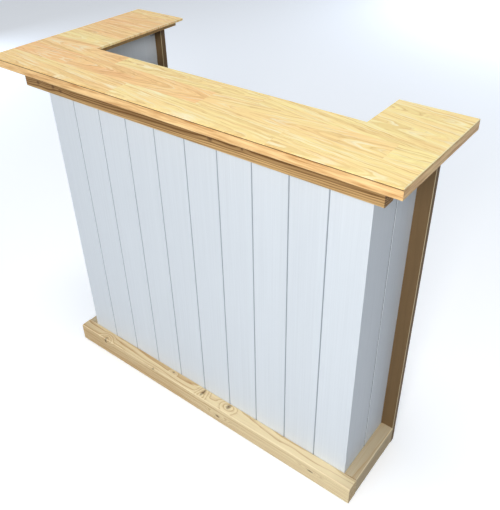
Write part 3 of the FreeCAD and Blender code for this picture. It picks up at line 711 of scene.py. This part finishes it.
class COUNTER_OT_outer_timbers(bpy.types.Operator):
    """Finish the batten under the worktop and the rails round the foot"""

    bl_idname = "counter.outer_timbers"
    bl_label = "Batten and foot rails"

    def execute(self, context):
        colours = context.scene.counter_colours
        low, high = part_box("base_rail_front")
        front, top = low.y, high.z
        middle = (low.y + high.y) / 2
        knots = [((-0.418, front, 0.056), (0.005, 0.012, 0.009)),
                 ((0.007, middle + 0.003, top), (0.004, 0.014, 0.006)),
                 ((0.106, middle + 0.006, top), (0.006, 0.009, 0.006)),
                 ((0.080, front, 0.026), (0.008, 0.006, 0.004)),
                 ((0.415, front, 0.039), (0.009, 0.006, 0.003)),
                 ((-0.124, high.y - 0.010, top), (0.003, 0.003, 0.003)),
                 ((-0.190, front, top - 0.001), (0.003, 0.003, 0.004))]
        rail = softwood("Planed pine foot rail", X, heart_of("base_rail_front", (0, 0.03, -0.06)),
                        colours.pine_pale, colours.pine_line, knots, contrast=1.15, seed=1,
                        browner=-0.45)
        dress("base_rail_front", rail)
        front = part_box("top_batten")[0].y
        knots = [((-0.483, front, 0.962), (0.006, 0.01, 0.005)),
                 ((-0.421, front, 0.965), (0.006, 0.01, 0.005)),
                 ((-0.391, front, 0.959), (0.007, 0.01, 0.004)),
                 ((0.117, front, 0.966), (0.007, 0.01, 0.005)),
                 ((0.206, front, 0.968), (0.004, 0.01, 0.004))]
        # the batten's upper part, near a heart above it, is painted darker as the worktop's shadow;
        # lean keeps this painted shade off the right end
        batten = softwood("Planed pine batten", X, heart_of("top_batten", (0, 0.0, 0.045)),
                          colours.batten_pale, colours.batten_line, knots, contrast=1.15, seed=2,
                          shade_radius=70 * MM, wander=8 * MM, bend=3 * MM, lean=0.02,
                          browner=0.25)
        dress("top_batten", batten)
        # the side rails take a darker pale wood: painted shade
        for seed, side in enumerate(("left", "right")):
            node = "base_rail_" + side
            dress(node, softwood("Planed pine side rail " + side, Y,
                                 heart_of(node, (0.03, 0, -0.05)), colours.side_rail_shaded_pale,
                                 colours.pine_line, contrast=0.8, seed=3 + seed))
        return {"FINISHED"}


class COUNTER_OT_cladding(bpy.types.Operator):
    """Paint the matchboards of the front and of both sides"""

    bl_idname = "counter.cladding"
    bl_label = "Matchboard cladding"

    def execute(self, context):
        paint = painted_board()
        boards = [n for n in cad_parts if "_board_" in n and n[-2:].isdigit()]
        if not boards:
            raise RuntimeError("the counter has no matchboards")
        for node in boards:
            dress(node, paint)
        return {"FINISHED"}


class COUNTER_OT_frame(bpy.types.Operator):
    """Finish the rear boards and the framing inside the counter"""

    bl_idname = "counter.frame"
    bl_label = "Frame and rear boards"

    def execute(self, context):
        colours = context.scene.counter_colours
        uprights = sorted(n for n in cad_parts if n.startswith(("stud_", "rear_board_"))
                          and "screws" not in n)
        level = {"frame_bottom_rail": X, "frame_top_rail": X, "side_bottom_rail_left": Y,
                 "side_bottom_rail_right": Y, "side_top_cleat_left": Y, "side_top_cleat_right": Y}
        axes = {**dict.fromkeys(uprights, Z), **level}
        for seed, (node, axis) in enumerate(axes.items()):
            offset = along(axis, 0.0, 0.035 if seed % 2 else -0.045)
            # the rear boards take the brown wood with its painted shade
            shaded_brown = node.startswith("rear_board")
            pale = colours.shaded_brown if shaded_brown else colours.pine_pale
            line = colours.shaded_brown_line if shaded_brown else colours.pine_line
            dress(node, softwood("Planed pine " + node.replace("_", " "), axis,
                                 heart_of(node, offset), pale, line, seed=10 + seed,
                                 contrast=0.35 if shaded_brown else 1.0))
        return {"FINISHED"}


class COUNTER_OT_shelves(bpy.types.Operator):
    """Finish the two shelves and the cleats that carry them"""

    bl_idname = "counter.shelves"
    bl_label = "Shelves"

    def execute(self, context):
        colours = context.scene.counter_colours
        shelves = sorted(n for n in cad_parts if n.startswith("shelf_") and "screws" not in n)
        for seed, node in enumerate(shelves):
            axis = Y if "end_cleat" in node else X
            dress(node, softwood("Pine " + node.replace("_", " "), axis,
                                 heart_of(node, along(axis, 0.0, -0.05)), colours.pine_pale,
                                 colours.pine_line, contrast=0.8, seed=30 + seed))
        return {"FINISHED"}


def screw_places(node):
    """For each screw of a group, a matrix at its head, with Z down its shank, and its length."""
    group = bmesh.new()
    group.from_mesh(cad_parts[node].data)
    bmesh.ops.remove_doubles(group, verts=group.verts, dist=0.01 * MM)
    found = set()
    places = []
    for vertex in group.verts:
        if vertex in found:
            continue
        screw = grow(vertex)
        found.update(screw)
        spots = [v.co for v in screw]
        low = Vector(min(p[i] for p in spots) for i in range(3))
        high = Vector(max(p[i] for p in spots) for i in range(3))
        axis = max(range(3), key=lambda i: high[i] - low[i])
        middle = (low + high) / 2
        wide = max(spots, key=lambda p: (p - middle).length_squared - (p[axis] - middle[axis]) ** 2)
        length = high[axis] - low[axis]
        way = Vector(along(axis, -1.0 if wide[axis] > middle[axis] else 1.0, 0.0))
        turn = way.to_track_quat("Z", "Y").to_matrix().to_4x4()
        places.append((Matrix.Translation(middle - way * length / 2) @ turn, length))
    group.free()
    return places


def grow(first):
    """Every vertex that is joined to the first one by edges, in the same order on each run."""
    reached = [first]
    found = {first}
    for vertex in reached:
        for edge in vertex.link_edges:
            other = edge.other_vert(vertex)
            if other not in found:
                found.add(other)
                reached.append(other)
    return reached


def cross(half_length, half_width, depth):
    """Corners of a driver recess at a depth, as a closed outline."""
    arm = [(half_length, -half_width), (half_length, half_width), (half_width, half_width)]
    points = []
    for quarter in range(4):
        turn = Matrix.Rotation(quarter * math.pi / 2, 3, "Z")
        points += [turn @ Vector((x, y, depth)) for x, y in arm]
    return points


def ring_of(mesh, points):
    """Vertices at the points, and the edges that close them into a loop."""
    corners = [mesh.verts.new(p) for p in points]
    edges = [mesh.edges.new((a, b)) for a, b in zip(corners, corners[1:] + corners[:1])]
    return corners, edges


def skin(mesh, first, second):
    """Quads between two loops of as many corners."""
    for i in range(len(first)):
        j = (i + 1) % len(first)
        mesh.faces.new((first[i], first[j], second[j], second[i]))


def add_screw(mesh, place, length, head, shank_radius):
    """One crosshead screw: head holds (radius, depth) from the rim of its top to the shank."""
    sizes = bpy.context.scene.counter_sizes
    profile = list(head)
    depth = head[-1][1] + sizes.thread_pitch
    while depth < length - BARE_TIP:
        profile += [(shank_radius * THREAD_CORE, depth)]
        profile += [(shank_radius, depth + sizes.thread_pitch / 2)]
        depth += sizes.thread_pitch
    profile += [(shank_radius * 0.6, depth), (0.1 * MM, length)]
    loops = []
    edges = []
    for i, (radius, down) in enumerate(profile):
        turns = [2 * math.pi * k / SCREW_SEGMENTS for k in range(SCREW_SEGMENTS)]
        spots = [Vector((radius * math.cos(t), radius * math.sin(t), down)) for t in turns]
        loop, edge = ring_of(mesh, [place @ p for p in spots])
        loops.append(loop)
        edges += edge if i == 0 else []
    for upper, lower in zip(loops, loops[1:]):
        skin(mesh, upper, lower)
    mesh.faces.new(loops[-1])
    arm = head[0][0] * RECESS_REACH
    mouth, mouth_edges = ring_of(mesh, [place @ p for p in cross(arm, arm * RECESS_SLOT, 0.0)])
    floor_spots = cross(arm * 0.6, arm * 0.15, head[-1][1] * 0.6)
    floor, _ = ring_of(mesh, [place @ p for p in floor_spots])
    skin(mesh, mouth, floor)
    mesh.faces.new(floor)
    bmesh.ops.triangle_fill(mesh, edges=edges + mouth_edges, use_beauty=True)


def make_screws(node, material):
    """Crosshead screws in the place of a group's plain ones."""
    sizes = bpy.context.scene.counter_sizes
    rim = sizes.screw_head_radius
    radius = sizes.screw_radius
    head = ((rim, 0.0), (rim, 0.2 * MM), (radius * 0.8, sizes.screw_head_depth))
    if node == "bracket_screws":
        head = PAN_HEAD
        radius = PAN_HEAD[-1][0]
    mesh = bmesh.new()
    for place, length in screw_places(node):
        add_screw(mesh, place @ Matrix.Translation((0, 0, -HEAD_PROUD)), length, head, radius)
    bmesh.ops.recalc_face_normals(mesh, faces=mesh.faces)
    data = bpy.data.meshes.new("crosshead_" + node)
    mesh.to_mesh(data)
    mesh.free()
    data.materials.append(material)
    screws = bpy.data.objects.new("crosshead_" + node, data)
    bpy.context.scene.collection.objects.link(screws)
    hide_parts(node)
    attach(screws, "root")


class COUNTER_OT_fixings(bpy.types.Operator):
    """Plate the angle brackets and put crosshead screws in the place of the plain ones"""

    bl_idname = "counter.fixings"
    bl_label = "Screws and brackets"

    def execute(self, context):
        colours = context.scene.counter_colours
        dress("angle_brackets", zinc("Bright zinc steel", colours.bright_zinc))
        plated = zinc("Yellow zinc steel", colours.yellow_zinc)
        for node in sorted(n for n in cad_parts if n.endswith("_screws")):
            make_screws(node, plated)
        return {"FINISHED"}


# ------------------------------------------------------------------ stage
CAMERA_PLACE = (0.946, -1.1375, 1.564)
CAMERA_AZIMUTH = math.radians(38.40)
CAMERA_ELEVATION = math.radians(34.64)
CAMERA_ROLL = math.radians(-1.40)
FOCAL_PIXELS = 625.7
PICTURE = (500, 510)
CENTRE_PIXEL = (248.1, 235.2)


def add_camera():
    """A camera above the customers' right-hand corner, tipped down to the counter."""
    data = bpy.data.cameras.new("Camera")
    camera = bpy.data.objects.new("Camera", data)
    bpy.context.scene.collection.objects.link(camera)
    a, e, r = CAMERA_AZIMUTH, CAMERA_ELEVATION, CAMERA_ROLL
    back = Vector((math.sin(a) * math.cos(e), -math.cos(a) * math.cos(e), math.sin(e)))
    side = Vector((0, 0, 1)).cross(back).normalized()
    up = back.cross(side)
    turned_side = side * math.cos(r) + up * math.sin(r)
    turned_up = up * math.cos(r) - side * math.sin(r)
    turn = Matrix((turned_side, turned_up, back)).transposed()
    camera.matrix_world = Matrix.Translation(CAMERA_PLACE) @ turn.to_4x4()
    long_side = max(PICTURE)
    data.sensor_width = 36.0
    data.lens = FOCAL_PIXELS * data.sensor_width / long_side
    data.shift_x = (PICTURE[0] / 2 - CENTRE_PIXEL[0]) / long_side
    data.shift_y = (CENTRE_PIXEL[1] - PICTURE[1] / 2) / long_side
    data.clip_start = 0.05
    data.clip_end = 100.0
    bpy.context.scene.camera = camera


def add_lamp(name, place, target, size, power, cool):
    """A soft square lamp that faces a point; a cool one has the sky's blue at full brightness."""
    tint = bpy.context.scene.counter_colours.sky if cool else (1.0, 1.0, 1.0)
    data = bpy.data.lights.new(name, "AREA")
    data.shape = "SQUARE"
    data.size = size
    data.energy = power
    data.color = [channel / max(tint[:3]) for channel in tint[:3]]
    lamp = bpy.data.objects.new(name, data)
    lamp.location = place
    lamp.rotation_mode = "QUATERNION"
    lamp.rotation_quaternion = (Vector(target) - Vector(place)).to_track_quat("-Z", "Y")
    lamp.visible_camera = False
    bpy.context.scene.collection.objects.link(lamp)


def studio_view(tree):
    """1 for the rays that see the studio itself, and 0 for those that carry its light."""
    ray = add(tree, "ShaderNodeLightPath").outputs
    mirrored = add(tree, "ShaderNodeMath", {0: ray["Is Camera Ray"], 1: ray["Is Glossy Ray"]},
                   operation="MAXIMUM")
    return add(tree, "ShaderNodeMath", {0: mirrored, 1: ray["Is Transmission Ray"]},
               operation="MAXIMUM")


def pale_floor():
    """Matt floor that is pale where it is seen, and throws back no more light than paving."""
    colours = bpy.context.scene.counter_colours
    material, tree, shader, _ = new_material("Studio floor")
    view = studio_view(tree)
    colour = add(tree, "ShaderNodeMix",
                 {"Factor": view, "A": colours.paving, "B": colours.floor}, data_type="RGBA")
    glow = add(tree, "ShaderNodeMath", {0: view, 1: 0.35}, operation="MULTIPLY")
    shader.inputs["Roughness"].default_value = 0.9
    shader.inputs["Specular IOR Level"].default_value = 0.1
    shader.inputs["Emission Color"].default_value = colours.floor
    join(tree, shader, Base_Color=colour, Emission_Strength=glow)
    return material


def pale_world():
    """Even light from a pale sky, which is seen in the floor's own colour."""
    colours = bpy.context.scene.counter_colours
    world = bpy.data.worlds.new("Studio")
    world.use_nodes = True
    tree = world.node_tree
    colour = add(tree, "ShaderNodeMix",
                 {"Factor": studio_view(tree), "A": colours.sky, "B": colours.floor},
                 data_type="RGBA")
    tree.links.new(next(o for o in colour.outputs if o.enabled),
                   tree.nodes["Background"].inputs["Color"])
    return world


class COUNTER_OT_stage(bpy.types.Operator):
    """Set up the floor, the lamps, the world and the camera"""

    bl_idname = "counter.stage"
    bl_label = "Stage"

    def execute(self, context):
        scene = context.scene
        sizes = scene.counter_sizes
        scene.view_settings.view_transform = "Standard"
        floor_mesh = bpy.data.meshes.new("studio_floor")
        half = sizes.floor_size / 2
        corners = [(-half, -half, 0), (half, -half, 0), (half, half, 0), (-half, half, 0)]
        floor_mesh.from_pydata(corners, [], [(0, 1, 2, 3)])
        floor = bpy.data.objects.new("studio_floor", floor_mesh)
        floor.location.z = -FLOOR_DROP
        scene.collection.objects.link(floor)
        floor_mesh.materials.append(pale_floor())
        scene.world = pale_world()
        for name, lamp in LAMPS.items():
            add_lamp(name, *lamp)
        add_camera()
        return {"FINISHED"}


class COUNTER_PT_panel(bpy.types.Panel):
    """Sizes, colours and steps for dressing the bar counter"""

    bl_label = "Bar counter"
    bl_idname = "COUNTER_PT_panel"
    bl_space_type = "VIEW_3D"
    bl_region_type = "UI"
    bl_category = "Bar counter"

    def draw(self, context):
        for step in STEPS:
            self.layout.operator(step.bl_idname)
        for group in (context.scene.counter_sizes, context.scene.counter_colours):
            box = self.layout.box()
            for name in group.__annotations__:
                box.prop(group, name)


STEPS = (COUNTER_OT_worktop, COUNTER_OT_outer_timbers, COUNTER_OT_cladding, COUNTER_OT_frame,
         COUNTER_OT_shelves, COUNTER_OT_fixings, COUNTER_OT_stage)
CLASSES = (CounterSizes, CounterColours, *STEPS, COUNTER_PT_panel)


def register():
    for cls in CLASSES:
        bpy.utils.register_class(cls)
    bpy.types.Scene.counter_sizes = PointerProperty(type=CounterSizes)
    bpy.types.Scene.counter_colours = PointerProperty(type=CounterColours)


def unregister():
    del bpy.types.Scene.counter_colours
    del bpy.types.Scene.counter_sizes
    for cls in reversed(CLASSES):
        bpy.utils.unregister_class(cls)


def main():
    """Dress the counter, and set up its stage."""
    register()
    bpy.ops.counter.worktop()
    bpy.ops.counter.outer_timbers()
    bpy.ops.counter.cladding()
    bpy.ops.counter.frame()
    bpy.ops.counter.shelves()
    bpy.ops.counter.fixings()
    bpy.ops.counter.stage()


if __name__ == "__main__":
    main()
